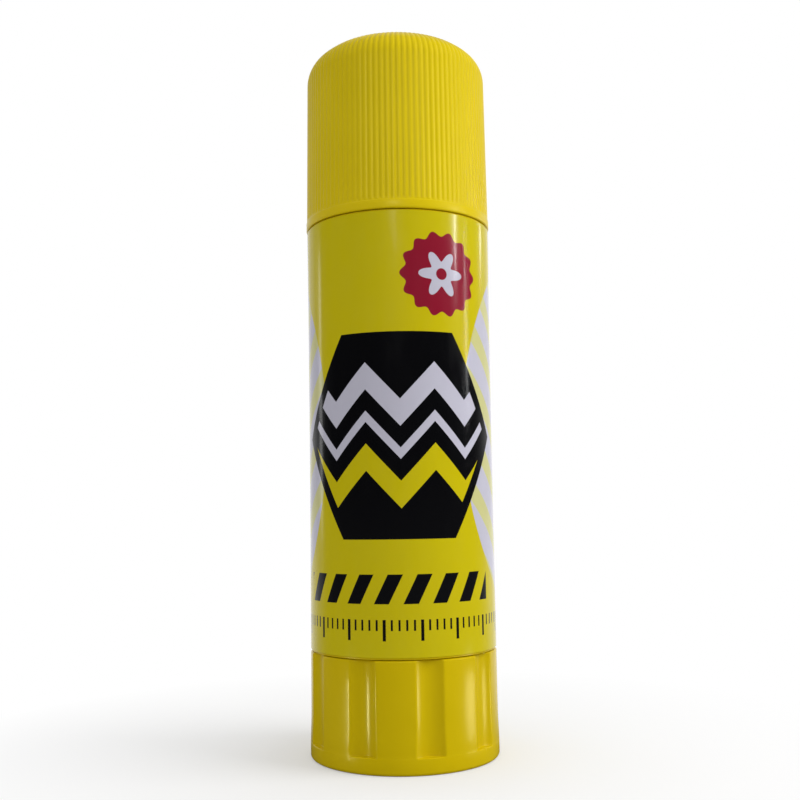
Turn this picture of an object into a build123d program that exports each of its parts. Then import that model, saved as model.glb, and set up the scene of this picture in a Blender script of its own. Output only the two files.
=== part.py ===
from build123d import *
import os

os.makedirs("parts", exist_ok=True)

# A 20 g glue stick: a ribbed cap, a labelled barrel and a fluted winding knob. Inside, the knob
# turns a lead screw that carries the glue up on a threaded carrier.
# Millimetres. The origin is the middle of the knob's underside, +Z runs up the stick, and the
# front of the label faces -Y.

# Gaps between pieces
overrun = 1.0  # how far a cut reaches past what it cuts
turning_gap = 0.15  # end play of the knob and spindle against the barrel
running_clearance = 0.08  # radial, on the spindle's journal and the spigot
rest_gap = 0.2  # between faces that meet at the end of a travel
carrier_clearance = 0.1  # radial, carrier in the bore
guide_clearance = 0.15  # carrier notches round the guide ribs
glue_clearance = 0.25  # glue to the bore, the guide ribs and the screw
cap_clearance = 0.2  # radial, cap round the neck
seal_clearance = 0.1  # radial, sealing land round the neck
nut_clearance = 0.12  # every side of the thread in the carrier's boss

# Knob, flush with the label
knob_height = 14.4
knob_wall = 1.45
knob_floor = 1.5
knob_recess = 0.8  # hollow under the floor
foot_land = 2.2  # width of the ring that it stands on
foot_height = 2.2  # plain ring below the flutes
foot_flare = 0.1
foot_rounding = 0.45
knob_rim_rounding = 0.25
flute_count = 9
flute_radius = 3.0
flute_depth = 0.78
flute_angle = -75.0  # degrees from +X to one flute
boss_radius = 4.7

# Barrel
body_radius = 12.86
body_height = 59.4
body_wall = 1.76
neck_wall = 1.0
neck_height = 14.0
neck_bead = 0.12  # how far the snap bead stands proud of the neck
neck_bead_width = 1.0
neck_bead_rise = 4.0  # from the barrel's shoulder to the middle of the bead
mouth_rounding = 0.35
web_thickness = 1.5
spigot_height = 6.0
spigot_wall = 1.0
guide_count = 4
guide_width = 1.4
guide_height = 0.45
guide_setback = 1.5  # from the mouth down to the end of a guide rib

# Label
label_bond = 0.02  # adhesive
label_thickness = 0.12
label_margin = 0.2  # bare barrel above and below it
label_lap = 3.0  # width of the overlap at the back

# Spindle
core_radius = 2.9
thread_height = 1.3
thread_crest = 1.0
thread_root = 2.0
thread_lead = 5.0
journal_radius = 3.6
flange_radius = 6.5
flange_thickness = 1.2
shank_width = 4.6
spindle_chamfer = 0.6

# Carrier
nut_length = 12.45
nut_wall = 1.7
cup_floor = 1.4
cup_height = 6.5
cup_wall = 1.1

# Glue
glue_proud = 1.2  # above the mouth
glue_bevel = 0.6
cup_fit = 0.05  # foot of the glue in the cup
bore_headroom = 1.0  # above the end of the spindle

# Cap
cap_gap = 0.1  # edge of the cap above the barrel's shoulder
cap_height = 26.55
collar_overhang = 0.3  # beyond the label
collar_height = 1.3
collar_rounding = 0.25
collar_step = 0.08  # from the collar in to the wall above it
cap_taper = 0.17  # how much narrower the wall is at the top
cap_shoulder = 4.0
crown_rise = 0.5
cap_wall = 1.1
cap_ceiling = 1.3
seal_height = 3.0
rib_count = 96
rib_height = 0.18
rib_gap = 0.4  # width of the groove between two ribs

# Heights, from the foot up
barrel_foot = knob_height + turning_gap
web_top = barrel_foot + web_thickness
shoulder = barrel_foot + body_height
mouth = shoulder + neck_height
flange_foot = web_top + turning_gap
flange_top = flange_foot + flange_thickness
nut_foot = flange_top + rest_gap
cup_foot = nut_foot + nut_length
glue_foot = cup_foot + cup_floor
cup_rim = glue_foot + cup_height
travel = mouth - cup_rim
spindle_top = nut_foot + travel + nut_length
glue_top = mouth + glue_proud
cap_edge = shoulder + cap_gap
cap_top = cap_edge + cap_height

# Radii, from the barrel out and in
label_bore = body_radius + label_bond
label_radius = label_bore + label_thickness
knob_radius = label_radius
knob_bore = knob_radius - knob_wall
collar_radius = label_radius + collar_overhang
cap_foot_radius = collar_radius - collar_step
cap_top_radius = cap_foot_radius - cap_taper
bore_radius = body_radius - body_wall
neck_radius = bore_radius + neck_wall
thread_radius = core_radius + thread_height
nut_bore = core_radius + nut_clearance
nut_radius = thread_radius + nut_clearance + nut_wall
carrier_radius = bore_radius - carrier_clearance
cup_bore = carrier_radius - cup_wall


def screw_path(foot, turns):
    """The screw's left-hand helix, so that the knob lifts the glue when it turns clockwise from below."""
    return Helix(thread_lead, turns * thread_lead, core_radius, center=(0, 0, foot), lefthand=True)


def screw_section(path, grown):
    """Trapezoid of the thread, square to the start of its helix and grown by a clearance all round."""
    start = Plane(origin=path @ 0, x_dir=(1, 0, 0), z_dir=path % 0)
    root = thread_root / 2 + grown
    crest = thread_crest / 2 + grown
    with BuildSketch(start) as section:
        with BuildLine():
            Polyline(
                (-thread_height / 2, -root),
                (thread_height + grown, -crest),
                (thread_height + grown, crest),
                (-thread_height / 2, root),
                close=True,
            )
        make_face()
    return section.sketch


# Knob: a fluted cup with a socket in its middle for the spindle's shank
flute_centre = knob_radius - flute_depth + flute_radius
knob_floor_top = knob_recess + knob_floor
recess_radius = knob_radius - foot_rounding - foot_land

with BuildPart() as knob:
    with BuildSketch(Plane.XZ):
        with BuildLine():
            Polyline(
                (0, knob_recess),
                (recess_radius - knob_recess, knob_recess),
                (recess_radius, 0),
                (knob_radius + foot_flare, 0),
                (knob_radius + foot_flare, foot_height),
                (knob_radius, foot_height),
                (knob_radius, knob_height),
                (knob_bore, knob_height),
                (knob_bore, knob_floor_top),
                (boss_radius, knob_floor_top),
                (boss_radius, knob_height),
                (0, knob_height),
                close=True,
            )
        make_face()
    revolve(axis=Axis.Z)
    foot_edge = knob.edges().sort_by_distance((-knob_radius - foot_flare, 0, 0))[0]
    fillet(foot_edge, foot_rounding)
    rim_edge = knob.edges().sort_by_distance((-knob_radius, 0, knob_height))[0]
    fillet(rim_edge, knob_rim_rounding)
    with BuildSketch(Plane.XY.offset(foot_height)):
        with PolarLocations(flute_centre, flute_count, start_angle=flute_angle):
            Circle(flute_radius)
    extrude(amount=knob_height, mode=Mode.SUBTRACT)
    with BuildSketch(Plane.XY.offset(knob_floor_top)):
        Rectangle(shank_width + cup_fit, shank_width + cup_fit)
    extrude(amount=knob_height, mode=Mode.SUBTRACT)

# Spindle: shank, journal, flange and core in one turning, with the thread swept round the core
thread_foot = flange_top + thread_root / 2
thread_turns = (spindle_top - spindle_chamfer - thread_root - thread_foot) / thread_lead

with BuildPart() as spindle:
    with BuildSketch(Plane.YZ):
        with BuildLine():
            Polyline(
                (0, knob_height),
                (journal_radius, knob_height),
                (journal_radius, flange_foot),
                (flange_radius, flange_foot),
                (flange_radius, flange_top),
                (core_radius, flange_top),
                (core_radius, spindle_top - spindle_chamfer),
                (core_radius - spindle_chamfer, spindle_top),
                (0, spindle_top),
                close=True,
            )
        make_face()
    revolve(axis=Axis.Z)
    with BuildSketch(Plane.XY.offset(knob_floor_top)):
        Rectangle(shank_width, shank_width)
    extrude(amount=knob_height - knob_floor_top)
    thread_path = screw_path(thread_foot, thread_turns)
    sweep(screw_section(thread_path, 0), path=thread_path, is_frenet=True)

# Barrel: body, neck with its snap bead, spigot inside the knob, web for the spindle, guide ribs
spigot_radius = knob_bore - running_clearance
bead_middle = shoulder + neck_bead_rise

with BuildPart() as barrel:
    with BuildSketch(Plane.XZ):
        with BuildLine():
            Polyline(
                (journal_radius + running_clearance, barrel_foot),
                (spigot_radius - spigot_wall, barrel_foot),
                (spigot_radius - spigot_wall, barrel_foot - spigot_height),
                (spigot_radius, barrel_foot - spigot_height),
                (spigot_radius, barrel_foot),
                (body_radius, barrel_foot),
                (body_radius, shoulder),
                (neck_radius, shoulder),
                (neck_radius, bead_middle - neck_bead_width / 2),
                (neck_radius + neck_bead, bead_middle),
                (neck_radius, bead_middle + neck_bead_width / 2),
                (neck_radius, mouth),
                (bore_radius, mouth),
                (bore_radius, web_top),
                (journal_radius + running_clearance, web_top),
                close=True,
            )
        make_face()
    revolve(axis=Axis.Z)
    fillet(barrel.edges().filter_by(GeomType.CIRCLE).group_by(Axis.Z)[-1], mouth_rounding)
    with BuildSketch(Plane.XY.offset(web_top)):
        with PolarLocations(bore_radius, guide_count):
            Rectangle(2 * guide_height, guide_width)
    extrude(amount=mouth - guide_setback - web_top)

# Label: film round the barrel, doubled where its ends overlap at the back
label_height = body_height - 2 * label_margin

with BuildPart() as label:
    with BuildSketch(Plane.XY.offset(barrel_foot + label_margin)):
        Circle(label_radius)
        with BuildSketch(mode=Mode.PRIVATE) as lap:
            Circle(label_radius + label_thickness)
            with Locations((0, label_radius)):
                Rectangle(label_lap, 2 * overrun, mode=Mode.INTERSECT)
        add(lap.sketch)
        Circle(label_bore, mode=Mode.SUBTRACT)
    extrude(amount=label_height)

# Tap: the screw grown by the nut's clearance, which cuts the bore and thread of the carrier's boss
groove_foot = thread_foot - thread_lead
groove_turns = (glue_foot + thread_root - groove_foot) / thread_lead

with BuildPart() as tap:
    with BuildSketch(Plane.XY.offset(groove_foot)):
        Circle(nut_bore)
    extrude(amount=glue_foot + thread_root - groove_foot)
    groove_path = screw_path(groove_foot, groove_turns)
    sweep(screw_section(groove_path, nut_clearance), path=groove_path, is_frenet=True)

# Carrier: cup with notches for the guide ribs, on a boss threaded for the spindle
with BuildPart() as carrier:
    with BuildSketch(Plane.YZ):
        with BuildLine():
            Polyline(
                (0, nut_foot),
                (nut_radius, nut_foot),
                (nut_radius, cup_foot),
                (carrier_radius, cup_foot),
                (carrier_radius, cup_rim),
                (cup_bore, cup_rim),
                (cup_bore, glue_foot),
                (0, glue_foot),
                close=True,
            )
        make_face()
    revolve(axis=Axis.Z)
    with BuildSketch(Plane.XY.offset(cup_foot)):
        with PolarLocations(bore_radius, guide_count):
            Rectangle(2 * (guide_height + guide_clearance), guide_width + 2 * guide_clearance)
    extrude(amount=cup_rim - cup_foot, mode=Mode.SUBTRACT)
    add(tap.part, mode=Mode.SUBTRACT)

# Glue: cast in the cup and the bore, with the marks of the guide ribs and a blind hole for the spindle
with BuildPart() as glue:
    with BuildSketch(Plane.XZ):
        with BuildLine():
            Polyline(
                (thread_radius + glue_clearance, glue_foot),
                (cup_bore - cup_fit, glue_foot),
                (cup_bore - cup_fit, cup_rim),
                (bore_radius - glue_clearance, cup_rim),
                (bore_radius - glue_clearance, glue_top - glue_bevel),
                (bore_radius - glue_clearance - glue_bevel, glue_top),
                (0, glue_top),
                (0, spindle_top + bore_headroom),
                (thread_radius + glue_clearance, spindle_top + bore_headroom),
                close=True,
            )
        make_face()
    revolve(axis=Axis.Z)
    with BuildSketch(Plane.XY.offset(cup_rim)):
        with PolarLocations(bore_radius, guide_count):
            Rectangle(2 * (guide_height + glue_clearance), guide_width + 2 * glue_clearance)
    extrude(amount=glue_top - cup_rim, mode=Mode.SUBTRACT)

# Cap: ribbed outside, with a collar at its edge, a sealing land and a ledge that stops on the mouth
ledge = mouth + rest_gap
inner_top_radius = cap_top_radius - rib_height - cap_wall
crown_edge = cap_top - crown_rise
crown_radius = (cap_top_radius**2 + crown_rise**2) / (2 * crown_rise)
ceiling = crown_edge - cap_ceiling
land_foot = mouth - seal_height
collar_top = cap_edge + collar_height

# Groove between two of the cap's ribs: a notch carried up along the wall and out over the shoulder
wall_line = Vector(cap_top_radius - cap_foot_radius, 0, crown_edge - collar_top)
groove_start = (cap_foot_radius, 0, collar_top + collar_step)

with BuildPart() as groove:
    with BuildSketch(Plane(groove_start, x_dir=(wall_line.Z, 0, -wall_line.X), z_dir=wall_line)):
        with BuildLine():
            Polyline(
                (0, -rib_gap / 2),
                (-rib_height, 0),
                (0, rib_gap / 2),
                (overrun, rib_gap / 2),
                (overrun, -rib_gap / 2),
                close=True,
            )
        make_face()
    extrude(amount=cap_height)

with BuildPart() as cap:
    with BuildSketch(Plane.XZ):
        with BuildLine():
            Polyline(
                (0, ceiling),
                (inner_top_radius, ceiling),
                (inner_top_radius, ledge),
                (neck_radius + seal_clearance, ledge),
                (neck_radius + seal_clearance, land_foot),
                (neck_radius + cap_clearance, land_foot - cap_clearance),
                (neck_radius + cap_clearance, cap_edge),
                (collar_radius, cap_edge),
                (collar_radius, collar_top - collar_step),
                (cap_foot_radius, collar_top),
                (cap_top_radius, crown_edge),
            )
            RadiusArc((cap_top_radius, crown_edge), (0, cap_top), -crown_radius)
            Line((0, cap_top), (0, ceiling))
        make_face()
    revolve(axis=Axis.Z)
    shoulder_edge = cap.edges().sort_by_distance((-cap_top_radius, 0, crown_edge))[0]
    fillet(shoulder_edge, cap_shoulder)
    ceiling_edge = cap.edges().sort_by_distance((-inner_top_radius, 0, ceiling))[0]
    fillet(ceiling_edge, cap_shoulder - cap_wall)
    collar_edge = cap.edges().sort_by_distance((-collar_radius, 0, cap_edge))[0]
    fillet(collar_edge, collar_rounding)
    with PolarLocations(0, rib_count):
        add(groove.part, mode=Mode.SUBTRACT)

pieces = {
    "knob": knob,
    "spindle": spindle,
    "barrel": barrel,
    "label": label,
    "carrier": carrier,
    "glue": glue,
    "cap": cap,
}
for name, piece in pieces.items():
    piece.part.label = name
    export_step(piece.part, f"parts/{name}.step")

print(f"winding travel {travel:.2f} mm, {travel / thread_lead:.2f} turns of the knob")
print(f"height with the cap on {cap_top:.2f} mm, glue {glue.part.volume / 1000:.2f} cm3")
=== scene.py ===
import math

import bpy
import numpy as np
from bpy.props import FloatProperty, FloatVectorProperty, IntProperty, PointerProperty
from mathutils import Matrix, Vector


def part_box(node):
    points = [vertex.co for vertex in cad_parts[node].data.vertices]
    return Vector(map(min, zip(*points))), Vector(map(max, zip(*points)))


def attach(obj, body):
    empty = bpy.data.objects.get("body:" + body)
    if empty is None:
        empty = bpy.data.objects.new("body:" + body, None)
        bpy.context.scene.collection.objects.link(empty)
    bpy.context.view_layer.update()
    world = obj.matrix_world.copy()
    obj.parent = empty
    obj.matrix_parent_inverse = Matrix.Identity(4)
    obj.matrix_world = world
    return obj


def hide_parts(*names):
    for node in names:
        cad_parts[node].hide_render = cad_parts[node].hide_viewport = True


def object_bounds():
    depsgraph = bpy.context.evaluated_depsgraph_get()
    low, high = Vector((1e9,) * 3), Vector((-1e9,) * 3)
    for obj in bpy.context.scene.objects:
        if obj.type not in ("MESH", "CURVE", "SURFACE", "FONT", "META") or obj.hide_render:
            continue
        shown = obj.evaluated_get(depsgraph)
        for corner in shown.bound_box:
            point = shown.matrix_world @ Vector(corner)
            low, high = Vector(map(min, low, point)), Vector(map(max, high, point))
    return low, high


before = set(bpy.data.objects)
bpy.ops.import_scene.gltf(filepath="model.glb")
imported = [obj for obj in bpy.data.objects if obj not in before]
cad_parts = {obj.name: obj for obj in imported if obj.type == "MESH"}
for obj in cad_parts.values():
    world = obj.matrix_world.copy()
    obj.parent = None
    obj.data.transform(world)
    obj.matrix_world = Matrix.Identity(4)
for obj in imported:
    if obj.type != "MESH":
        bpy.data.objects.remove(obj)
cad_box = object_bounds()

bl_info = {
    "name": "Glue Stick",
    "version": (1, 0, 0),
    "blender": (4, 5, 0),
    "location": "3D View > Sidebar > Glue Stick",
    "description": "Dresses a twist-up glue stick: ribbed cap, printed film label, fluted knob and glue",
    "category": "Add Mesh",
}

# The CAD nodes' own boxes, which the pieces are fitted to
knob_low, knob_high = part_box("knob")
barrel_low, barrel_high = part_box("barrel")
label_low, label_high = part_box("label")
glue_low, glue_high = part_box("glue")
cap_low, cap_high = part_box("cap")

MM = 0.001  # metres
TURN = 2 * math.pi
WHITE = (1.0, 1.0, 1.0)
YELLOW_SHEEN = (1.0, 0.93, 0.38)  # sheen of the yellow plastics
CREASE = math.radians(40)  # an edge between two faces that bends further than this stays sharp

# Steps of the grids that the pieces are made on
RIB_COLUMNS = 12  # round one rib of the cap
FLUTE_COLUMNS = 80  # round one flute of the knob and the land beside it
BARREL_COLUMNS = 720
GLUE_COLUMNS = 480
FILM_COLUMNS = 360  # from one end of the film to the other


def length(name, default, description):
    """A size in metres that a user may change."""
    return FloatProperty(
        name=name, description=description, default=default, min=0.0, unit="LENGTH", precision=6
    )


def angle(name, degrees, description):
    """An angle that a user may change, given in degrees and held in radians."""
    turn = math.radians(degrees)
    return FloatProperty(
        name=name, description=description, default=turn, subtype="ANGLE", unit="ROTATION"
    )


def colour(name, red, green, blue, description):
    """A surface colour, given by its 8-bit sRGB values."""
    encoded = np.array([red, green, blue]) / 255
    linear = np.where(encoded > 0.04045, ((encoded + 0.055) / 1.055) ** 2.4, encoded / 12.92)
    return FloatVectorProperty(
        name=name,
        description=description,
        default=tuple(float(x) for x in linear),
        min=0.0,
        max=1.0,
        size=3,
        subtype="COLOR",
    )


class CapSizes(bpy.types.PropertyGroup):
    """Sizes of the ribbed cap"""

    rib_count: IntProperty(name="Ribs", description="Grip ribs round the cap", default=104, min=8)
    rib_depth: length("Rib depth", 0.08 * MM, "From a rib's crest to the valley beside it")
    rib_end: length("Rib end", 0.5 * MM, "Height over which a rib runs out above the collar")
    collar_height: length("Collar height", 1.3 * MM, "Plain band at the cap's edge")
    collar_step: length("Collar step", 0.08 * MM, "From the collar in to the ribbed wall")
    collar_rounding: length("Collar rounding", 0.16 * MM, "Lower edge of the collar")
    taper: length("Taper", 0.17 * MM, "How much narrower the wall is at the top")
    shoulder: length("Shoulder", 4.0 * MM, "Radius between the wall and the crown")
    crown_rise: length("Crown rise", 0.5 * MM, "How far the crown domes up")
    wall: length("Wall", 1.28 * MM, "Upper wall, from the crests to the hollow")
    ceiling: length("Ceiling", 1.3 * MM, "Thickness of the crown")
    neck_radius: length("Neck bore", 12.3 * MM, "Bore round the barrel's neck")
    land_radius: length("Land bore", 12.2 * MM, "Bore of the sealing land at the mouth")
    land_foot: length("Land foot", 10.9 * MM, "From the cap's edge up to the sealing land")
    ledge: length("Ledge", 14.1 * MM, "From the cap's edge up to the stop on the mouth")


class KnobSizes(bpy.types.PropertyGroup):
    """Sizes of the fluted knob"""

    flute_count: IntProperty(name="Flutes", description="Grip flutes round the knob", default=9, min=3)
    flute_radius: length("Flute radius", 3.0 * MM, "Radius of a flute's hollow")
    flute_depth: length("Flute depth", 0.78 * MM, "Depth of a flute in its middle")
    flute_angle: angle("Flute angle", -75, "From +X round to one flute")
    flute_edge: length("Flute edge", 0.16 * MM, "Softness of the edge between flute and land")
    foot_height: length("Foot height", 2.2 * MM, "Plain ring below the flutes")
    foot_flare: length("Foot flare", 0.1 * MM, "How far the ring stands out beyond the lands")
    flare_height: length("Flare height", 4.0 * MM, "Length over which the lands widen down to the ring")
    ring_step: length("Ring step", 0.015 * MM, "What is left of the flare where the lands meet the ring")
    foot_rounding: length("Foot rounding", 0.45 * MM, "Lower edge of the ring")
    ledge_rounding: length("Ledge rounding", 0.14 * MM, "Edges of the ledge under a flute")
    rim_rounding: length("Rim rounding", 0.25 * MM, "Upper edge of the knob")
    wall: length("Wall", 1.45 * MM, "Thickness of the knob's wall")
    floor: length("Floor", 1.5 * MM, "Thickness of the knob's floor")
    recess: length("Recess", 0.8 * MM, "Hollow under the floor")
    land: length("Land", 2.2 * MM, "Width of the ring that it stands on")
    boss_radius: length("Boss radius", 4.7 * MM, "Boss that holds the spindle")
    socket: length("Socket", 4.65 * MM, "Across the flats of the spindle's socket")


class BarrelSizes(bpy.types.PropertyGroup):
    """Sizes of the barrel, its neck and its guide ribs"""

    flare: length("Flare", 0.2 * MM, "How much the body widens up to its shoulder")
    flare_height: length("Flare height", 45.0 * MM, "Length over which the body widens")
    bore_radius: length("Bore radius", 11.1 * MM, "Inside of the barrel")
    neck_radius: length("Neck radius", 12.1 * MM, "Outside of the neck")
    neck_height: length("Neck height", 14.0 * MM, "Neck above the shoulder")
    bead: length("Bead", 0.12 * MM, "How far the snap bead stands out")
    bead_width: length("Bead width", 1.0 * MM, "Height of the snap bead")
    bead_rise: length("Bead rise", 4.0 * MM, "From the shoulder to the middle of the bead")
    mouth_rounding: length("Mouth rounding", 0.35 * MM, "Lip of the mouth")
    edge_rounding: length("Edge rounding", 0.12 * MM, "Outer edges of the body")
    web: length("Web", 1.5 * MM, "Floor that carries the spindle")
    web_hole: length("Web hole", 3.68 * MM, "Radius of the spindle's bearing")
    spigot_height: length("Spigot height", 5.93 * MM, "Skirt inside the knob")
    spigot_radius: length("Spigot radius", 11.47 * MM, "Outside of the skirt")
    spigot_wall: length("Spigot wall", 1.0 * MM, "Thickness of the skirt")
    guide_count: IntProperty(name="Guides", description="Ribs that stop the glue turning", default=4)
    guide_width: length("Guide width", 1.4 * MM, "Width of a guide rib")
    guide_height: length("Guide height", 0.45 * MM, "How far a guide rib stands into the bore")
    guide_setback: length("Guide setback", 1.5 * MM, "From the mouth down to the guides' ends")


class LabelSizes(bpy.types.PropertyGroup):
    """Sizes of the film"""

    thickness: length("Thickness", 0.12 * MM, "Film with its ink and adhesive")
    lap: length("Lap", 3.0 * MM, "Overlap of the film's ends at the back")
    step: length("Step", 0.5 * MM, "Length over which the upper end climbs onto the lower one")


class GlueSizes(bpy.types.PropertyGroup):
    """Sizes of the glue and of the marks in it"""

    bore_clearance: length("Bore clearance", 0.25 * MM, "Glue to the barrel's bore")
    foot_radius: length("Foot radius", 9.85 * MM, "Foot of the glue inside its cup")
    foot_height: length("Foot height", 6.5 * MM, "Depth of the cup")
    edge: length("Edge", 0.75 * MM, "Soft upper edge")
    dish: length("Dish", 0.18 * MM, "How far the top sinks in its middle")
    hole_radius: length("Hole radius", 4.45 * MM, "Blind hole for the spindle")
    hole_depth: length("Hole depth", 49.6 * MM, "From the glue's foot to the end of the hole")
    notch_width: length("Notch width", 1.9 * MM, "Mark of a guide rib")
    notch_depth: length("Notch depth", 0.45 * MM, "Depth of that mark")


class StickColours(bpy.types.PropertyGroup):
    """Colours of the plastics, the print and the glue"""

    cap: colour("Cap", 226, 200, 3, "Yellow plastic of the cap")
    # The knob is the cap's plastic, and its darker yellow is painted shade for the light falling off
    # towards the stick's foot
    knob: colour("Knob", 212, 185, 3, "Yellow plastic of the knob")
    barrel: colour("Barrel", 214, 187, 3, "Yellow plastic of the barrel")
    label: colour("Label", 209, 193, 3, "Yellow ground of the print")
    ink: colour("Ink", 9, 9, 12, "Black of the print")
    panel: colour("Panel", 201, 199, 214, "Cool white of the print")
    pale: colour("Pale", 211, 208, 142, "Pale yellow of the print")
    accent: colour("Accent", 146, 24, 47, "Crimson of the print")
    glue: colour("Glue", 232, 231, 224, "Milky white glue")
    screw: colour("Screw", 226, 226, 222, "Natural white plastic of the spindle")
    carrier: colour("Carrier", 226, 226, 222, "Natural white plastic of the carrier")


class StageSettings(bpy.types.PropertyGroup):
    """The camera and the room's light"""

    lens: FloatProperty(name="Lens", description="Focal length in millimetres", default=46.24)
    distance: length("Distance", 147.6 * MM, "From the stick's axis to the camera")
    height: length("Height", 33.86 * MM, "Camera above the floor")
    pitch: angle("Pitch", 6.04, "How far the camera looks up")
    roll: angle("Roll", -0.87, "The camera's turn about its line of sight")
    ambient: FloatProperty(name="Ambient", description="Level of the room's soft light", default=0.64)
    dim: FloatProperty(name="Dim side", description="What a reflection shows of the room", default=0.02)


def section(*stretches):
    """Joins stretches of a profile, each one or more rows of (radius, height), into one array."""
    return np.vstack([np.atleast_2d(np.array(s, float)) for s in stretches])


def arc(centre, radius, start, end, steps):
    """Points of a circle: centre + radius (cos a, sin a), for a in degrees from start to end."""
    a = np.radians(np.linspace(start, end, steps))
    return np.stack([centre[0] + radius * np.cos(a), centre[1] + radius * np.sin(a)], -1)


def angles(columns):
    """Angles round the axis, from +X towards +Y, one for each column of a turned piece."""
    return np.arange(columns) * TURN / columns


def turned_points(radius, height, columns):
    """Grid of (r cos a, r sin a, h), where r and h may differ by row and by column."""
    a = angles(columns)[None, :]
    r = np.broadcast_to(radius, (len(radius), columns))
    h = np.broadcast_to(height, (len(height), columns))
    return np.stack([r * np.cos(a), r * np.sin(a), h], -1)


def quads(rows, columns, wrap_rows, wrap_columns):
    """Corners of the four-sided faces between neighbouring rows and columns of a grid."""
    i = np.arange(rows if wrap_rows else rows - 1)[:, None]
    j = np.arange(columns if wrap_columns else columns - 1)[None, :]
    up, right = (i + 1) % rows, (j + 1) % columns
    corners = [i * columns + j, i * columns + right, up * columns + right, up * columns + j]
    return np.stack(np.broadcast_arrays(*corners), -1).reshape(-1, 4)


def finished(name, points, faces):
    """A mesh object at the origin with smooth faces and sharp creases."""
    mesh = bpy.data.meshes.new(name)
    mesh.from_pydata(points.tolist(), [], faces)
    mesh.shade_smooth()
    mesh.set_sharp_from_angle(angle=CREASE)
    mesh.validate()
    piece = bpy.data.objects.new(name, mesh)
    bpy.context.scene.collection.objects.link(piece)
    return piece


def turned(name, radius, height, columns, ring=False):
    """A closed turned piece. Its profile starts and ends on the axis, with a point at each pole,
    or with ring it is a loop round a hole. Faces point outwards when it runs out under the piece,
    up its outside and back in over the top."""
    points = turned_points(radius, height, columns)
    rows = len(points)
    faces = quads(rows, columns, ring, True).tolist()
    flat = points.reshape(-1, 3)
    if not ring:
        here = np.arange(columns)
        right = (here + 1) % columns
        first, last = len(flat), len(flat) + 1
        top = (rows - 1) * columns
        poles = [(0, 0, points[0, 0, 2]), (0, 0, points[-1, 0, 2])]
        flat = np.vstack([flat, poles])
        faces += np.stack([np.full(columns, first), right, here], -1).tolist()
        faces += np.stack([top + here, top + right, np.full(columns, last)], -1).tolist()
    return finished(name, flat, faces)


def smoothstep(low, high, value):
    """0 below low and 1 above high, with a smooth rise between."""
    t = np.clip((value - low) / (high - low), 0, 1)
    return t * t * (3 - 2 * t)


def soft_minimum(a, b, width):
    """The lesser of a and b, with the crease between them rounded over width."""
    near = np.maximum(width - np.abs(a - b), 0) / width
    return np.minimum(a, b) - near * near * width / 4


def away_from(columns, count, start):
    """Signed angle of each column from the nearest of count places that are spaced evenly from start."""
    pitch = TURN / count
    return (angles(columns) - start + pitch / 2) % pitch - pitch / 2


def bands(columns, count, radius, width, side):
    """For each column 1 on one of count evenly spaced bands and 0 between them. A band's width is
    measured along a circle of that radius, and its sides fall over the share side of the width."""
    across = np.abs(away_from(columns, count, 0)) * radius
    return 1 - smoothstep((0.5 - side) * width, 0.5 * width, across)


def build_cap(sizes):
    """The cap's envelope is a turned profile. Each point moves back along the profile's normal by
    depth w w (1.6 - 0.6 w), with w = (1 + cos(count a)) / 2, so rounded ribs stand between narrow
    grooves. They run out at the collar as sin(pi t / 2) and near the end of the shoulder's bend.
    The crown is plain, a cap of a sphere whose radius dome follows from its width and its rise."""
    columns = sizes.rib_count * RIB_COLUMNS
    edge, top = cap_low.z, cap_high.z
    collar = cap_high.x
    collar_top = edge + sizes.collar_height
    foot = collar - sizes.collar_step
    wall_top = foot - sizes.taper
    crown_edge = top - sizes.crown_rise
    dome = (wall_top**2 + sizes.crown_rise**2) / (2 * sizes.crown_rise)
    bore = wall_top - sizes.wall
    ceiling = crown_edge - sizes.ceiling
    inner = sizes.shoulder - sizes.wall
    rounding = sizes.collar_rounding
    inside = section(
        (bore / 2, ceiling),
        arc((bore - inner, ceiling - inner), inner, 90, 0, 8),
        (bore, edge + sizes.ledge),
        (sizes.land_radius, edge + sizes.ledge),
        (sizes.land_radius, edge + sizes.land_foot),
        (sizes.neck_radius, edge + sizes.land_foot - (sizes.neck_radius - sizes.land_radius)),
        (sizes.neck_radius, edge + rounding),
        (sizes.neck_radius + rounding, edge),
        arc((collar - rounding, edge + rounding), rounding, -90, 0, 6),
        (collar, collar_top - sizes.collar_step * 2),
        (collar - sizes.collar_step / 2, collar_top - sizes.collar_step / 2),
        (foot, collar_top),
    )
    # Six rows where the ribs begin, twenty round the shoulder up to 86 degrees, then the crown's
    rise = np.linspace(0, 1, 7)[1:]
    level = collar_top + sizes.rib_end * rise
    lean = np.interp(level, [collar_top, crown_edge], [0, sizes.taper])
    ends = np.stack([foot - lean, level], -1)
    turn = np.linspace(0, 1, 20)
    bend_centre = (wall_top - sizes.shoulder, crown_edge - sizes.shoulder)
    bend = arc(bend_centre, sizes.shoulder, 0, 86, len(turn))
    out = np.linspace(bend[-1, 0], 0, 9)[1:-1]
    crown = np.stack([out, top - dome + np.sqrt(dome**2 - out**2)], -1)
    # The last rows of the bend shift until they meet the crown
    bend[:, 1] += (crown[0, 1] - bend[-1, 1]) * smoothstep(0.6, 1, turn)
    profile = section(inside, ends, bend, crown)
    along = np.gradient(profile, axis=0)
    normal = np.stack([along[:, 1], -along[:, 0]], -1)
    normal /= np.linalg.norm(normal, axis=1)[:, None]
    ribbed = [np.sin(rise * math.pi / 2), 1 - smoothstep(0.72, 1, turn)]
    strength = np.concatenate([np.zeros(len(inside)), *ribbed, np.zeros(len(crown))])
    wave = (1 + np.cos(sizes.rib_count * angles(columns))) / 2
    wave = wave * wave * (1.6 - 0.6 * wave)
    back = sizes.rib_depth * strength[:, None] * wave[None, :]
    radius = profile[:, :1] - back * normal[:, :1]
    height = profile[:, 1:] - back * normal[:, 1:]
    return turned("ribbed_cap", radius, height, columns)


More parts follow.
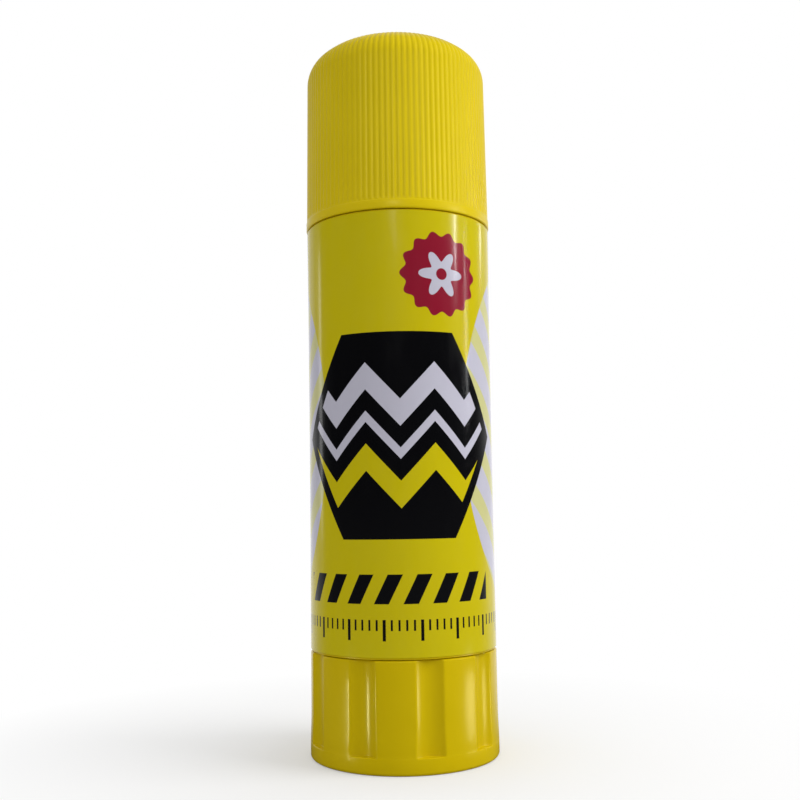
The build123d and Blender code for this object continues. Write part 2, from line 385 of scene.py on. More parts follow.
def build_knob(sizes):
    """The land is a circle and each flute the near side of a circle of its own: at an angle a from
    the flute, r = c cos a - sqrt(f^2 - c^2 sin^2 a), where c is how far out its centre lies and f its
    radius. The soft minimum of the two is the wall, and the ledge under the flutes steps out from it
    to the foot ring on two quarter circles. The lands widen smoothly down to the ring. The socket is
    a square, r = half its width / max(|cos a|, |sin a|)."""
    columns = sizes.flute_count * FLUTE_COLUMNS
    top = knob_high.z
    foot = knob_high.x
    land = foot - sizes.foot_flare
    centre = land - sizes.flute_depth + sizes.flute_radius
    away = away_from(columns, sizes.flute_count, sizes.flute_angle)
    reach = np.sqrt(np.maximum(sizes.flute_radius**2 - (centre * np.sin(away)) ** 2, 0))
    hollow = centre * np.cos(away) - reach
    wall = soft_minimum(np.full(columns, land), hollow, sizes.flute_edge)
    low_wall = soft_minimum(np.full(columns, foot - sizes.ring_step), hollow, sizes.flute_edge)
    # Both roundings have to fit on the ledge, which gets narrow beside a land
    small = np.minimum(sizes.ledge_rounding, (foot - low_wall) * 0.45)
    ones = np.ones(columns)
    bore = land - sizes.wall
    floor = sizes.recess + sizes.floor
    recess = land - sizes.foot_rounding - sizes.land
    around = angles(columns)
    flats = sizes.socket / 2 / np.maximum(np.abs(np.cos(around)), np.abs(np.sin(around)))
    under = section(
        (recess / 2, sizes.recess),
        (recess - sizes.recess, sizes.recess),
        (recess, 0),
        arc((foot - sizes.foot_rounding, sizes.foot_rounding), sizes.foot_rounding, -90, 0, 8),
    )
    rows = [(r * ones, z * ones) for r, z in under]
    # Steps of a quarter circle, each as how far it has come and how far it has to go
    quarter = [(1 - math.cos(a), 1 - math.sin(a)) for a in np.linspace(0, math.pi / 2, 6)]
    rows += [(foot - small * come, sizes.foot_height - small * left) for come, left in quarter]
    rows += [(low_wall + small * left, sizes.foot_height + small * come) for come, left in quarter]
    for t in np.linspace(0, 1, 10)[1:]:
        share = smoothstep(0, 1, t)
        level = sizes.foot_height + sizes.ledge_rounding + t * sizes.flare_height
        rows.append((low_wall + (wall - low_wall) * share, level * ones))
    lip = sizes.rim_rounding
    rows += [(wall - lip * come, (top - lip * left) * ones) for come, left in quarter]
    inside = section((bore, top), (bore, floor), (sizes.boss_radius, floor), (sizes.boss_radius, top))
    rows += [(r * ones, z * ones) for r, z in inside]
    rows += [(flats, top * ones), (flats, floor * ones), (flats / 2, floor * ones)]
    radius = np.array([r for r, z in rows])
    height = np.array([z for r, z in rows])
    return turned("fluted_knob", radius, height, columns)


def widened(radius, height, sizes):
    """Rows of (radius + flare t^2, height), where t goes from 0 to 1 over the flare's height and
    reaches 1 at the label's top."""
    t = np.clip((height - label_high.z) / sizes.flare_height + 1, 0, 1)
    return np.stack([radius + sizes.flare * t * t, height], -1)


def build_barrel(sizes):
    """A turned ring: web, skirt, body, neck with its snap bead, mouth and bore. Each guide rib takes
    its height off the bore's radius where a column lies within half its width."""
    foot = barrel_low.z + sizes.spigot_height
    body = barrel_high.x
    mouth = barrel_high.z
    shoulder = mouth - sizes.neck_height
    bead = shoulder + sizes.bead_rise
    skirt = sizes.spigot_radius - sizes.spigot_wall
    edge, lip, half = sizes.edge_rounding, sizes.mouth_rounding, sizes.bead_width / 2
    neck, bore = sizes.neck_radius, sizes.bore_radius
    bead_flank = neck + sizes.bead * 0.7
    outside = section(
        (sizes.web_hole, foot),
        (skirt, foot),
        (skirt, barrel_low.z),
        (sizes.spigot_radius, barrel_low.z),
        (sizes.spigot_radius, foot),
        arc((body - edge, foot + edge), edge, -90, 0, 4),
        widened(body, np.linspace(foot + 2 * edge, shoulder - 2 * edge, 24), sizes),
        arc((body + sizes.flare - edge, shoulder - edge), edge, 0, 90, 4),
        (neck, shoulder),
        (neck, bead - half),
        (bead_flank, bead - half / 2),
        (neck + sizes.bead, bead),
        (bead_flank, bead + half / 2),
        (neck, bead + half),
        arc((neck - lip, mouth - lip), lip, 0, 90, 6),
        arc((bore + lip, mouth - lip), lip, 90, 180, 6),
    )
    guide_top = mouth - sizes.guide_setback
    web_top = foot + sizes.web
    inside = section(
        (bore, guide_top + sizes.guide_height),
        (bore, guide_top),
        (bore, web_top),
        (sizes.web_hole, web_top),
    )
    profile = section(outside, inside)
    radius = np.repeat(profile[:, :1], BARREL_COLUMNS, 1)
    guide = bands(BARREL_COLUMNS, sizes.guide_count, bore, sizes.guide_width, side=0.1)
    first = len(outside)
    radius[first + 1:first + 3] -= sizes.guide_height * guide
    return turned("barrel_tube", radius, profile[:, 1:], BARREL_COLUMNS, ring=True)


def build_label(sizes, barrel):
    """A film carried round the barrel: its place along the film is s, its angle s / R from the lap at
    the back, and its radius the barrel's until the last stretch climbs by one thickness onto the
    first. The section is a rectangle with its upper and lower edges eased, and widens with the body.
    The UV map gives the place along the film and up it, each from 0 to 1."""
    steps = FILM_COLUMNS
    outer = label_high.x
    foot, top = label_low.z, label_high.z
    thick = sizes.thickness
    girth = TURN * outer
    place = np.linspace(0, girth + sizes.lap, steps)
    start = math.pi / 2 - sizes.lap / 2 / outer
    around = start + place / outer
    climb = thick * smoothstep(girth - sizes.step, girth, place)
    ease = thick * 0.3  # what each corner of the section loses
    level = np.linspace(foot + ease, top - ease, 30)
    face = widened(outer, level, barrel)
    edge = barrel.flare + outer
    rim = section(
        (outer - thick + ease, foot),
        (outer - ease, foot),
        face,
        (edge - ease, top),
        (edge - thick + ease, top),
        face[::-1] - (thick, 0),
    )
    radius = rim[:, :1] + climb[None, :]
    height = np.broadcast_to(rim[:, 1:], radius.shape)
    points = np.stack([radius * np.cos(around), radius * np.sin(around), height], -1)
    rows = len(rim)
    faces = quads(rows, steps, True, False).tolist()
    near_end = (np.arange(rows) * steps).tolist()
    far_end = (np.arange(rows) * steps + steps - 1).tolist()
    faces += [near_end, far_end[::-1]]
    piece = finished("film_label", points.reshape(-1, 3), faces)
    across = np.broadcast_to(place / place[-1], radius.shape)
    up = (height - foot) / (top - foot)
    layout = np.stack([across, up], -1).reshape(-1, 2)
    corner = np.zeros(len(piece.data.loops), np.int64)
    piece.data.loops.foreach_get("vertex_index", corner)
    unwrapped = piece.data.uv_layers.new(name="Film")
    unwrapped.uv.foreach_set("vector", layout[corner].astype(np.float32).ravel())
    return piece


def build_glue(sizes, barrel):
    """A turned stick with a soft upper edge and a dished top, z = top - dish (1 - (r / R)^2). Each
    mark of a guide rib takes its depth off the radius where a column lies within half its width."""
    foot, top = glue_low.z, glue_high.z
    outer = barrel.bore_radius - sizes.bore_clearance
    hole_top = foot + sizes.hole_depth
    step = foot + sizes.foot_height
    soft = sizes.edge
    inside = section(
        (sizes.hole_radius / 2, hole_top),
        (sizes.hole_radius, hole_top),
        (sizes.hole_radius, foot),
        (sizes.foot_radius, foot),
        (sizes.foot_radius, step),
    )
    side = section(
        (outer, step),
        (outer, step + soft),
        (outer, top - 2 * soft),
        arc((outer - soft, top - soft), soft, 0, 90, 10),
    )
    out = np.linspace(outer - soft, 0, 9)[1:-1]
    dished = np.stack([out, top - sizes.dish * (1 - (out / (outer - soft)) ** 2)], -1)
    profile = section(inside, side, dished)
    radius = np.repeat(profile[:, :1], GLUE_COLUMNS, 1)
    mark = bands(GLUE_COLUMNS, barrel.guide_count, outer, sizes.notch_width, side=0.14)
    marked = slice(len(inside), len(inside) + len(side))
    radius[marked] = np.minimum(radius[marked], outer - sizes.notch_depth * mark)
    return turned("glue_stick", radius, profile[:, 1:], GLUE_COLUMNS)


def feed(tree, socket, term):
    """Links term into socket if it is a socket, and otherwise sets it as the socket's value."""
    if isinstance(term, bpy.types.NodeSocket):
        tree.links.new(term, socket)
    else:
        socket.default_value = term


def calc(tree, operation, *terms):
    """A Math node's result, from numbers and sockets."""
    made = tree.nodes.new("ShaderNodeMath")
    made.operation = operation
    for socket, term in zip(made.inputs, terms):
        feed(tree, socket, term)
    return made.outputs[0]


def vector_calc(tree, operation, *terms, out=0):
    """A Vector Math node's result, from vectors and sockets. With out=1 it is the node's number."""
    made = tree.nodes.new("ShaderNodeVectorMath")
    made.operation = operation
    for socket, term in zip(made.inputs, terms):
        feed(tree, socket, term)
    return made.outputs[out]


def blended(tree, share, under, over):
    """The colour under where share is 0 and over where it is 1."""
    made = tree.nodes.new("ShaderNodeMix")
    made.data_type = "RGBA"
    feed(tree, made.inputs["Factor"], share)
    # A Mix node has sockets for every type of data, and these are the ones for colours
    feed(tree, made.inputs[6], under)
    feed(tree, made.inputs[7], over)
    return made.outputs[2]


def noise(tree, vector, scale, detail=2.0):
    """A Noise node's value, from 0 to 1."""
    made = tree.nodes.new("ShaderNodeTexNoise")
    feed(tree, made.inputs["Vector"], vector)
    feed(tree, made.inputs["Scale"], scale)
    made.inputs["Detail"].default_value = detail
    return made.outputs["Fac"]


def spread(tree, value, from_low, from_high, to_low, to_high):
    """A Map Range node's result: value moved from one range to another and kept inside it."""
    made = tree.nodes.new("ShaderNodeMapRange")
    for socket, term in zip(made.inputs, (value, from_low, from_high, to_low, to_high)):
        feed(tree, socket, term)
    return made.outputs[0]


def varied(tree, value, low, high):
    """A noise's value, most of which lies between 0.3 and 0.7, turned into one from low to high."""
    return spread(tree, value, 0.3, 0.7, low, high)


def new_group(name, inputs, outputs):
    """A shader node group with sockets of the given names and kinds, and its input and output nodes."""
    tree = bpy.data.node_groups.new(name, "ShaderNodeTree")
    for side, sockets in (("INPUT", inputs), ("OUTPUT", outputs)):
        for label, kind in sockets:
            tree.interface.new_socket(label, in_out=side, socket_type="NodeSocket" + kind)
    return tree, tree.nodes.new("NodeGroupInput"), tree.nodes.new("NodeGroupOutput")


def use_group(tree, group, **terms):
    """Places a node group in a tree and feeds the inputs that are named in terms."""
    made = tree.nodes.new("ShaderNodeGroup")
    made.node_tree = group
    for label, term in terms.items():
        feed(tree, made.inputs[label.capitalize()], term)
    return made


def moulded_finish():
    """Group for moulded plastic: a faint uneven colour, satin patches, rubbed scuffs and fine grain.
    The vector is in metres, so a noise of scale s has features of about 1000 / s millimetres."""
    tree, given, made = new_group(
        "Moulded finish",
        [("Vector", "Vector"), ("Base", "Color"), ("Roughness", "Float"), ("Grain", "Float")],
        [("Colour", "Color"), ("Roughness", "Float"), ("Height", "Float")],
    )
    vector = given.outputs["Vector"]
    patches = noise(tree, vector, 90.0, 3.0)
    shade = varied(tree, patches, 0.965, 1.03)
    satin = varied(tree, patches, -0.03, 0.03)
    # The scuffs run up the piece and show only in some of the patches
    stretched = vector_calc(tree, "MULTIPLY", vector, (1.0, 1.0, 0.12))
    scuffs = spread(tree, noise(tree, stretched, 1500.0, 4.0), 0.62, 0.74, 0.0, 1.0)
    worn = calc(tree, "MULTIPLY", scuffs, spread(tree, patches, 0.45, 0.65, 0.0, 0.09))
    roughness = calc(tree, "ADD", given.outputs["Roughness"], satin)
    grain = calc(tree, "MULTIPLY", noise(tree, vector, given.outputs["Grain"]), 0.6)
    pebbles = calc(tree, "MULTIPLY", noise(tree, vector, 2600.0), 0.4)
    feed(tree, made.inputs["Colour"], vector_calc(tree, "MULTIPLY", given.outputs["Base"], shade))
    feed(tree, made.inputs["Roughness"], calc(tree, "ADD", roughness, worn))
    feed(tree, made.inputs["Height"], calc(tree, "ADD", grain, pebbles))
    return tree


def within(tree, value, limit, edge=0.03):
    """Mask of where value is under limit, in millimetres, with a crisp printed edge."""
    return spread(tree, value, limit - edge, limit + edge, 1.0, 0.0)


def both(tree, *masks):
    """The masks multiplied together."""
    result = masks[0]
    for mask in masks[1:]:
        result = calc(tree, "MULTIPLY", result, mask)
    return result


def off_middle(tree, value, middle):
    """How far value lies from middle."""
    return calc(tree, "ABSOLUTE", calc(tree, "SUBTRACT", value, middle))


def oval(tree, across, up, centre, half_width, squash):
    """Mask of an upright oval: with every height multiplied by squash, it is a disc round its centre."""
    point = tree.nodes.new("ShaderNodeCombineXYZ")
    feed(tree, point.inputs[0], across)
    feed(tree, point.inputs[1], calc(tree, "MULTIPLY", up, squash))
    gap = vector_calc(tree, "DISTANCE", point.outputs[0], (centre[0], centre[1] * squash, 0.0), out=1)
    return within(tree, gap, half_width)


def repeated(tree, value, pitch, width):
    """Mask of stripes of a width, one in the middle of each pitch."""
    share = calc(tree, "FRACT", calc(tree, "DIVIDE", value, pitch))
    off = calc(tree, "MULTIPLY", off_middle(tree, share, 0.5), pitch)
    return within(tree, off, width / 2)


def hexagon(tree, across, up, centre, reach):
    """Mask of a hexagon with level sides above and below: the larger of |y| and |y| / 2 + |x| sin 60
    stays under reach, the distance from its centre to a side."""
    x = off_middle(tree, across, centre[0])
    y = off_middle(tree, up, centre[1])
    slanted = calc(tree, "MULTIPLY_ADD", x, math.sin(math.pi / 3), calc(tree, "MULTIPLY", y, 0.5))
    return within(tree, calc(tree, "MAXIMUM", y, slanted), reach)


def zigzag(tree, across, up, level, rise, pitch, width):
    """Mask of a zigzag line: up stays within half its width of level plus a triangle wave."""
    wave = calc(tree, "PINGPONG", across, pitch / 2)
    line = calc(tree, "MULTIPLY_ADD", wave, rise / (pitch / 2), level - rise / 2)
    return within(tree, calc(tree, "ABSOLUTE", calc(tree, "SUBTRACT", up, line)), width / 2)


def rosette(tree, across, up, centre, radius, petals, depth):
    """Mask of a scalloped seal: its edge lies at radius + depth cos(petals a), with a the angle
    round its centre."""
    x = calc(tree, "SUBTRACT", across, centre[0])
    y = calc(tree, "SUBTRACT", up, centre[1])
    turn = calc(tree, "ARCTAN2", y, x)
    wave = calc(tree, "COSINE", calc(tree, "MULTIPLY", turn, float(petals)))
    squares = calc(tree, "ADD", calc(tree, "MULTIPLY", x, x), calc(tree, "MULTIPLY", y, y))
    return within(tree, calc(tree, "MULTIPLY_ADD", wave, -depth, calc(tree, "SQRT", squares)), radius)


def label_print():
    """Group for the printed design: cool white ovals with slanted stripes on both sides, a black
    hexagon with zigzags, a crimson seal, and rows of marks. Places are in millimetres, across from
    the middle of the front and up from the floor."""
    inks = ("Ground", "Ink", "Panel", "Pale", "Accent")
    tree, given, made = new_group(
        "Label print",
        [("Place", "Vector")] + [(ink, "Color") for ink in inks],
        [("Colour", "Color")],
    )
    parts = tree.nodes.new("ShaderNodeSeparateXYZ")
    feed(tree, parts.inputs[0], given.outputs["Place"])
    across, up = parts.outputs[0], parts.outputs[1]
    aside = off_middle(tree, across, -1.2)
    ovals = oval(tree, aside, up, (24.1, 44.5), half_width=13.9, squash=0.6)
    stripes = repeated(tree, calc(tree, "ADD", aside, up), pitch=7.4, width=3.2)
    centre, reach, border = (-0.4, 43.6), 13.7, 1.3
    inner = hexagon(tree, across, up, centre, reach - border)
    # Each layer is an ink and the masks that it is printed within, and covers those before it
    layers = [
        ("Panel", ovals),
        ("Pale", ovals, stripes),
        ("Ink", hexagon(tree, across, up, centre, reach)),
    ]
    for ink, level, width in (("Panel", 49.0, 3.6), ("Panel", 43.6, 1.5), ("Ground", 38.2, 3.6)):
        line = zigzag(tree, across, up, level, rise=5.0, pitch=9.4, width=width)
        layers.append((ink, inner, line))
    # The seal is a scalloped disc, on it a flower of six petals, and on that a dot
    seal = (("Accent", 5.5, 14, 0.35), ("Panel", 2.5, 6, 0.8), ("Accent", 0.8, 6, 0.0))
    for ink, radius, petals, depth in seal:
        layers.append((ink, rosette(tree, across, up, (6.0, 65.2), radius, petals, depth)))
    leaning = calc(tree, "MULTIPLY_ADD", up, -0.5, across)
    bars = repeated(tree, leaning, pitch=3.9, width=2.0)
    layers.append(("Ink", bars, within(tree, off_middle(tree, up, 23.5), 1.9), within(tree, aside, 14.8)))
    # The scale has a small tick each millimetre and a longer one every five
    for pitch, width, level, half_height in ((1.0, 0.28, 18.9, 0.7), (5.0, 0.42, 18.25, 1.35)):
        ticks = repeated(tree, across, pitch, width)
        layers.append(("Ink", ticks, within(tree, off_middle(tree, up, level), half_height)))
    shown = given.outputs["Ground"]
    for ink, *masks in layers:
        shown = blended(tree, both(tree, *masks), shown, given.outputs[ink])
    feed(tree, made.inputs["Colour"], shown)
    return tree


def new_material(name):
    """A material with its node tree and its Principled shader."""
    material = bpy.data.materials.new(name)
    material.use_nodes = True
    return material, material.node_tree, material.node_tree.nodes["Principled BSDF"]


def raised(tree, shader, height, depth):
    """Feeds a height into the shader's Normal through a Bump node; depth is in metres."""
    bump = tree.nodes.new("ShaderNodeBump")
    bump.inputs["Strength"].default_value = 1.0
    bump.inputs["Distance"].default_value = depth
    feed(tree, bump.inputs["Height"], height)
    feed(tree, shader.inputs["Normal"], bump.outputs[0])


def rgba(value):
    """The three parts of a colour with a full alpha behind them."""
    return (*value, 1.0)


def shared(name, make):
    """The node group of that name, made once."""
    return bpy.data.node_groups.get(name) or make()


def plastic(name, base, roughness, specular, grain=9000.0, tint=WHITE):
    """Moulded plastic in one colour; tint is the colour of its sheen seen straight on."""
    material, tree, shader = new_material(name)
    place = tree.nodes.new("ShaderNodeTexCoord").outputs["Object"]
    finish = shared("Moulded finish", moulded_finish)
    made = use_group(tree, finish, vector=place, base=rgba(base), roughness=roughness, grain=grain)
    feed(tree, shader.inputs["Base Color"], made.outputs["Colour"])
    feed(tree, shader.inputs["Roughness"], made.outputs["Roughness"])
    shader.inputs["Specular IOR Level"].default_value = specular
    shader.inputs["Specular Tint"].default_value = rgba(tint)
    raised(tree, shader, made.outputs["Height"], 0.004 * MM)
    return material


def film(name, colours, sizes):
    """Glossy printed film. Its UV map becomes a place in millimetres: along the film from its middle,
    which is the front, and up from the floor."""
    material, tree, shader = new_material(name)
    outer = label_high.x
    long = (TURN * outer + sizes.lap) / MM
    high = (label_high.z - label_low.z) / MM
    layout = tree.nodes.new("ShaderNodeUVMap")
    layout.uv_map = "Film"
    scaled = vector_calc(tree, "MULTIPLY", layout.outputs[0], (long, high, 0.0))
    place = vector_calc(tree, "ADD", scaled, (-long / 2, label_low.z / MM, 0.0))
    inks = {name: rgba(getattr(colours, name)) for name in ("ink", "panel", "pale", "accent")}
    design = shared("Label print", label_print)
    printed = use_group(tree, design, place=place, ground=rgba(colours.label), **inks)
    feed(tree, shader.inputs["Base Color"], printed.outputs["Colour"])
    # Both the rubbed patches and the film's ripples are longer up the stick than round it
    rub = noise(tree, vector_calc(tree, "MULTIPLY", place, (1.0, 0.25, 0.0)), 0.9, 4.0)
    ripple = noise(tree, vector_calc(tree, "MULTIPLY", place, (1.0, 0.06, 0.0)), 0.5, 1.0)
    feed(tree, shader.inputs["Roughness"], varied(tree, rub, 0.13, 0.2))
    shader.inputs["Specular IOR Level"].default_value = 0.4
    raised(tree, shader, ripple, 0.03 * MM)
    return material


def glue_paste(name, base):
    """Waxy glue: light scatters a little way into it, and its skin is faintly uneven."""
    material, tree, shader = new_material(name)
    place = tree.nodes.new("ShaderNodeTexCoord").outputs["Object"]
    cloud = noise(tree, place, 160.0, 3.0)
    darker = [x * 0.93 for x in base]
    tint = blended(tree, varied(tree, cloud, 0.0, 0.35), rgba(base), rgba(darker))
    feed(tree, shader.inputs["Base Color"], tint)
    feed(tree, shader.inputs["Roughness"], varied(tree, cloud, 0.36, 0.5))
    shader.inputs["Subsurface Weight"].default_value = 0.25
    shader.inputs["Subsurface Radius"].default_value = (0.9, 0.9, 0.8)
    shader.inputs["Subsurface Scale"].default_value = 1.5 * MM
    raised(tree, shader, noise(tree, place, 700.0, 3.0), 0.03 * MM)
    return material


def dress(piece, material, body, node):
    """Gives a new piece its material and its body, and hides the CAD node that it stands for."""
    piece.data.materials.clear()
    piece.data.materials.append(material)
    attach(piece, body)
    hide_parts(node)


def cover(node, material):
    """Gives a CAD node that stays a procedural material."""
    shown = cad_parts[node]
    shown.data.materials.clear()
    shown.data.materials.append(material)


class STICK_OT_cap(bpy.types.Operator):
    """Make the ribbed cap"""

    bl_idname = "glue_stick.cap"
    bl_label = "Cap"

    def execute(self, context):
        scene = context.scene
        piece = build_cap(scene.stick_cap)
        base = scene.stick_colours.cap
        material = plastic("cap plastic", base, roughness=0.3, specular=0.32, tint=YELLOW_SHEEN)
        dress(piece, material, "cap", "cap")
        return {"FINISHED"}


class STICK_OT_knob(bpy.types.Operator):
    """Make the fluted winding knob"""

    bl_idname = "glue_stick.knob"
    bl_label = "Knob"

    def execute(self, context):
        scene = context.scene
        piece = build_knob(scene.stick_knob)
        # This yellow is darker than the cap's, as painted shade for the light falling off towards the
        # foot
        base = scene.stick_colours.knob
        material = plastic("knob plastic", base, roughness=0.22, specular=0.25, tint=YELLOW_SHEEN)
        dress(piece, material, "knob", "knob")
        return {"FINISHED"}


class STICK_OT_barrel(bpy.types.Operator):
    """Make the barrel with its neck and mouth"""

    bl_idname = "glue_stick.barrel"
    bl_label = "Barrel"

    def execute(self, context):
        scene = context.scene
        piece = build_barrel(scene.stick_barrel)
        base = scene.stick_colours.barrel
        material = plastic("barrel plastic", base, roughness=0.26, specular=0.25, tint=YELLOW_SHEEN)
        dress(piece, material, "barrel", "barrel")
        return {"FINISHED"}


class STICK_OT_label(bpy.types.Operator):
    """Make the printed film label"""

    bl_idname = "glue_stick.label"
    bl_label = "Label"

    def execute(self, context):
        scene = context.scene
        piece = build_label(scene.stick_label, scene.stick_barrel)
        material = film("label film", scene.stick_colours, scene.stick_label)
        dress(piece, material, "barrel", "label")
        return {"FINISHED"}


class STICK_OT_glue(bpy.types.Operator):
    """Make the stick of glue"""

    bl_idname = "glue_stick.glue"
    bl_label = "Glue"

    def execute(self, context):
        scene = context.scene
        piece = build_glue(scene.stick_glue, scene.stick_barrel)
        material = glue_paste("glue paste", scene.stick_colours.glue)
        dress(piece, material, "carrier", "glue")
        return {"FINISHED"}


class STICK_OT_mechanism(bpy.types.Operator):
    """Give the lead screw and its carrier their plastic"""

    bl_idname = "glue_stick.mechanism"
    bl_label = "Screw and Carrier"

    def execute(self, context):
        colours = context.scene.stick_colours
        screw = plastic("screw plastic", colours.screw, roughness=0.34, specular=0.5, grain=6000.0)
        cup = plastic("carrier plastic", colours.carrier, roughness=0.3, specular=0.5, grain=7000.0)
        cover("spindle", screw)
        cover("carrier", cup)
        return {"FINISHED"}


def softbox(name, azimuth, elevation, distance, width, height, radiance, aim, mirrored=True, lit=True):
    """A rectangular lamp that faces aim. Azimuth 0 is the camera's side and 90 the picture's right;
    its power is pi times its area times its radiance. With mirrored off no sheen shows it, and with
    lit off only a sheen does."""
    around, above = math.radians(azimuth), math.radians(elevation)
    flat = math.cos(above)
    away = Vector((math.sin(around) * flat, -math.cos(around) * flat, math.sin(above)))
    lamp = bpy.data.lights.new(name, "AREA")
    lamp.shape = "RECTANGLE"
    lamp.size, lamp.size_y = width, height
    lamp.energy = math.pi * width * height * radiance
    holder = bpy.data.objects.new(name, lamp)
    holder.location = aim + away * distance
    holder.rotation_euler = away.to_track_quat("Z", "Y").to_euler()
    holder.visible_camera = False
    holder.visible_glossy = mirrored
    holder.visible_diffuse = lit
    bpy.context.scene.collection.objects.link(holder)


def white_behind(tree, ahead):
    """How white a reflection shows what it meets. With ahead the cosine of its angle from straight
    behind the stick, it is t^2, where t goes from 0 to 1 as ahead goes from 0.1 to 0.97."""
    share = spread(tree, ahead, 0.1, 0.97, 0.0, 1.0)
    return calc(tree, "MULTIPLY", share, share)


def studio_world(settings):
    """Soft light from all round, a little stronger from above. The camera sees white; a reflection
    or glass shows that white background behind the stick, and a dim room on the camera's side."""
    world = bpy.data.worlds.new("Studio")
    world.use_nodes = True
    tree = world.node_tree
    back = tree.nodes["Background"]
    path = tree.nodes.new("ShaderNodeLightPath")
    parts = tree.nodes.new("ShaderNodeSeparateXYZ")
    feed(tree, parts.inputs[0], tree.nodes.new("ShaderNodeTexCoord").outputs["Generated"])
    behind = white_behind(tree, parts.outputs[1])
    mirrored = calc(tree, "MAXIMUM", path.outputs["Is Glossy Ray"], path.outputs["Is Transmission Ray"])
    seen = calc(tree, "MULTIPLY_ADD", behind, 1.0 - settings.dim, settings.dim)
    sky = spread(tree, parts.outputs[2], -1.0, 1.0, 0.7 * settings.ambient, 1.3 * settings.ambient)
    lit = calc(tree, "MULTIPLY", calc(tree, "SUBTRACT", 1.0, mirrored), sky)
    level = calc(tree, "MULTIPLY_ADD", mirrored, seen, lit)
    level = calc(tree, "MAXIMUM", level, path.outputs["Is Camera Ray"])
    feed(tree, back.inputs["Strength"], level)
    back.inputs["Color"].default_value = rgba(WHITE)
    bpy.context.scene.world = world


def floor_material():
    """Pale matt floor. Away from the stick it turns to plain white for the camera and for glass, and
    for reflections where it lies behind the stick. Near the stick its paint and the shadow stay. The
    light that it throws back at the stick is dimmer, and what its front shows in a sheen is dark."""
    material, tree, shader = new_material("studio floor")
    shader.inputs["Roughness"].default_value = 0.9
    shader.inputs["Specular IOR Level"].default_value = 0.0
    path = tree.nodes.new("ShaderNodeLightPath")
    glossy = path.outputs["Is Glossy Ray"]
    place = tree.nodes.new("ShaderNodeTexCoord").outputs["Object"]
    parts = tree.nodes.new("ShaderNodeSeparateXYZ")
    feed(tree, parts.inputs[0], place)
    away = vector_calc(tree, "LENGTH", place, out=1)
    behind = white_behind(tree, calc(tree, "DIVIDE", parts.outputs[1], away))
    seen = calc(tree, "MAXIMUM", path.outputs["Is Camera Ray"], path.outputs["Is Transmission Ray"])
    seen = calc(tree, "MAXIMUM", seen, calc(tree, "MULTIPLY", glossy, behind))
    shown, thrown, dark = (rgba((grey, grey, grey)) for grey in (0.86, 0.5, 0.08))
    unseen = blended(tree, glossy, thrown, dark)
    feed(tree, shader.inputs["Base Color"], blended(tree, seen, unseen, shown))
    far = spread(tree, away, 18.0 * MM, 75.0 * MM, 0.3, 1.0)
    glow = tree.nodes.new("ShaderNodeEmission")
    glow.inputs["Color"].default_value = rgba(WHITE)
    glow.inputs["Strength"].default_value = 1.0
    mixed = tree.nodes.new("ShaderNodeMixShader")
    feed(tree, mixed.inputs["Fac"], calc(tree, "MULTIPLY", seen, far))
    feed(tree, mixed.inputs[1], shader.outputs[0])
    feed(tree, mixed.inputs[2], glow.outputs[0])
    output = tree.nodes["Material Output"]
    feed(tree, output.inputs["Surface"], mixed.outputs[0])
    return material


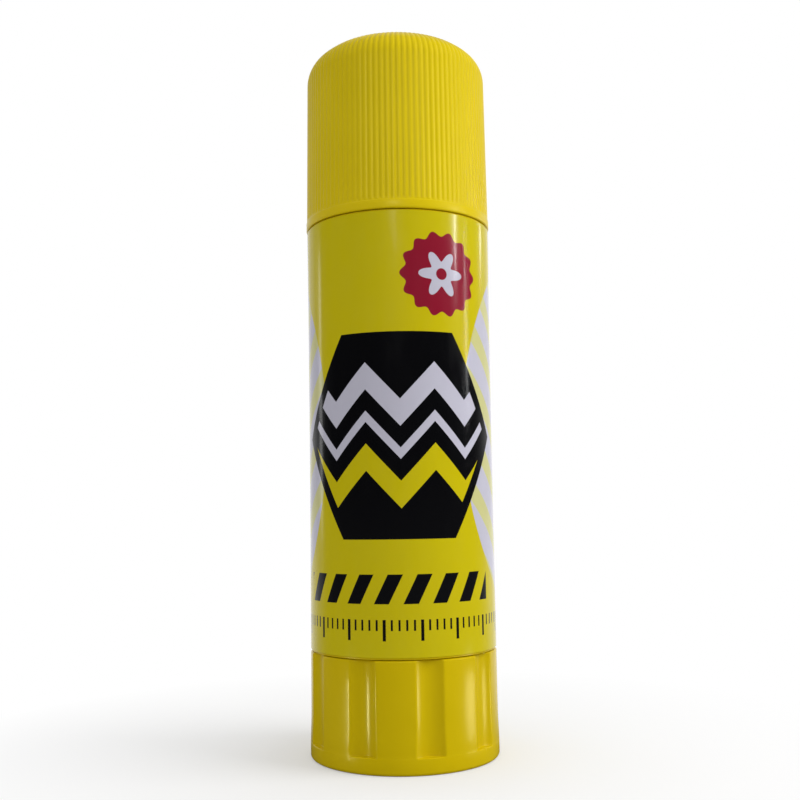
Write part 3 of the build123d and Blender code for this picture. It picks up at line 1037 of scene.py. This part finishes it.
class STICK_OT_stage(bpy.types.Operator):
    """Set the floor, the lamps and the camera"""

    bl_idname = "glue_stick.stage"
    bl_label = "Stage"

    def execute(self, context):
        scene = context.scene
        settings = scene.stick_stage
        reach = 3.0  # metres from the stick to each side of the floor
        corners = np.array([[-1, -1, 0], [1, -1, 0], [1, 1, 0], [-1, 1, 0]]) * reach
        floor = finished("floor", corners, [[0, 1, 2, 3]])
        floor.data.materials.append(floor_material())
        middle = (cad_box[0] + cad_box[1]) / 2
        knob = Vector((0.0, 0.0, 5.5 * MM))
        # Each lamp's azimuth, elevation, distance, width, height and radiance, and what it faces
        softbox("key", 74, 34, 0.36, 0.22, 0.26, 4.15, middle, mirrored=False)
        softbox("key strip", 75, 19, 0.40, 0.011, 0.055, 62.0, middle, lit=False)
        softbox("side strip", 126, 18, 0.42, 0.010, 0.05, 14.0, middle)
        softbox("thin strip", 90, 10.6, 0.40, 0.004, 0.08, 40.0, middle, lit=False)
        softbox("fill strip", -116, 6, 0.40, 0.03, 0.14, 2.5, middle)
        softbox("low left", -52, 0, 0.028, 0.0013, 0.010, 50.0, knob, lit=False)
        softbox("low right", 70, 0, 0.032, 0.0065, 0.010, 8.0, knob, lit=False)
        softbox("front strip", -4, 26, 0.40, 0.008, 0.07, 80.0, middle, lit=False)
        studio_world(settings)
        lens = bpy.data.cameras.new("camera")
        lens.sensor_width = 36.0
        lens.lens = settings.lens
        lens.clip_start = 0.01
        lens.clip_end = 20.0
        camera = bpy.data.objects.new("camera", lens)
        place = Matrix.Translation((0.0, -settings.distance, settings.height))
        tilt = Matrix.Rotation(math.pi / 2 + settings.pitch, 4, "X")
        roll = Matrix.Rotation(settings.roll, 4, "Z")
        camera.matrix_world = place @ tilt @ roll
        scene.collection.objects.link(camera)
        scene.camera = camera
        scene.view_settings.view_transform = "Standard"
        return {"FINISHED"}


class STICK_PT_panel(bpy.types.Panel):
    """Buttons that make the pieces and the stage"""

    bl_idname = "STICK_PT_panel"
    bl_label = "Glue Stick"
    bl_space_type = "VIEW_3D"
    bl_region_type = "UI"
    bl_category = "Glue Stick"

    def draw(self, context):
        for operator in operators:
            self.layout.operator(operator.bl_idname)


groups = {
    "stick_cap": CapSizes,
    "stick_knob": KnobSizes,
    "stick_barrel": BarrelSizes,
    "stick_label": LabelSizes,
    "stick_glue": GlueSizes,
    "stick_colours": StickColours,
    "stick_stage": StageSettings,
}
operators = (
    STICK_OT_knob,
    STICK_OT_barrel,
    STICK_OT_label,
    STICK_OT_mechanism,
    STICK_OT_glue,
    STICK_OT_cap,
    STICK_OT_stage,
)


def register():
    for name, group in groups.items():
        bpy.utils.register_class(group)
        setattr(bpy.types.Scene, name, PointerProperty(type=group))
    for operator in operators:
        bpy.utils.register_class(operator)
    bpy.utils.register_class(STICK_PT_panel)


def unregister():
    bpy.utils.unregister_class(STICK_PT_panel)
    for operator in reversed(operators):
        bpy.utils.unregister_class(operator)
    for name, group in groups.items():
        delattr(bpy.types.Scene, name)
        bpy.utils.unregister_class(group)


def main():
    register()
    bpy.ops.glue_stick.knob()
    bpy.ops.glue_stick.barrel()
    bpy.ops.glue_stick.label()
    bpy.ops.glue_stick.mechanism()
    bpy.ops.glue_stick.glue()
    bpy.ops.glue_stick.cap()
    bpy.ops.glue_stick.stage()


if __name__ == "__main__":
    main()
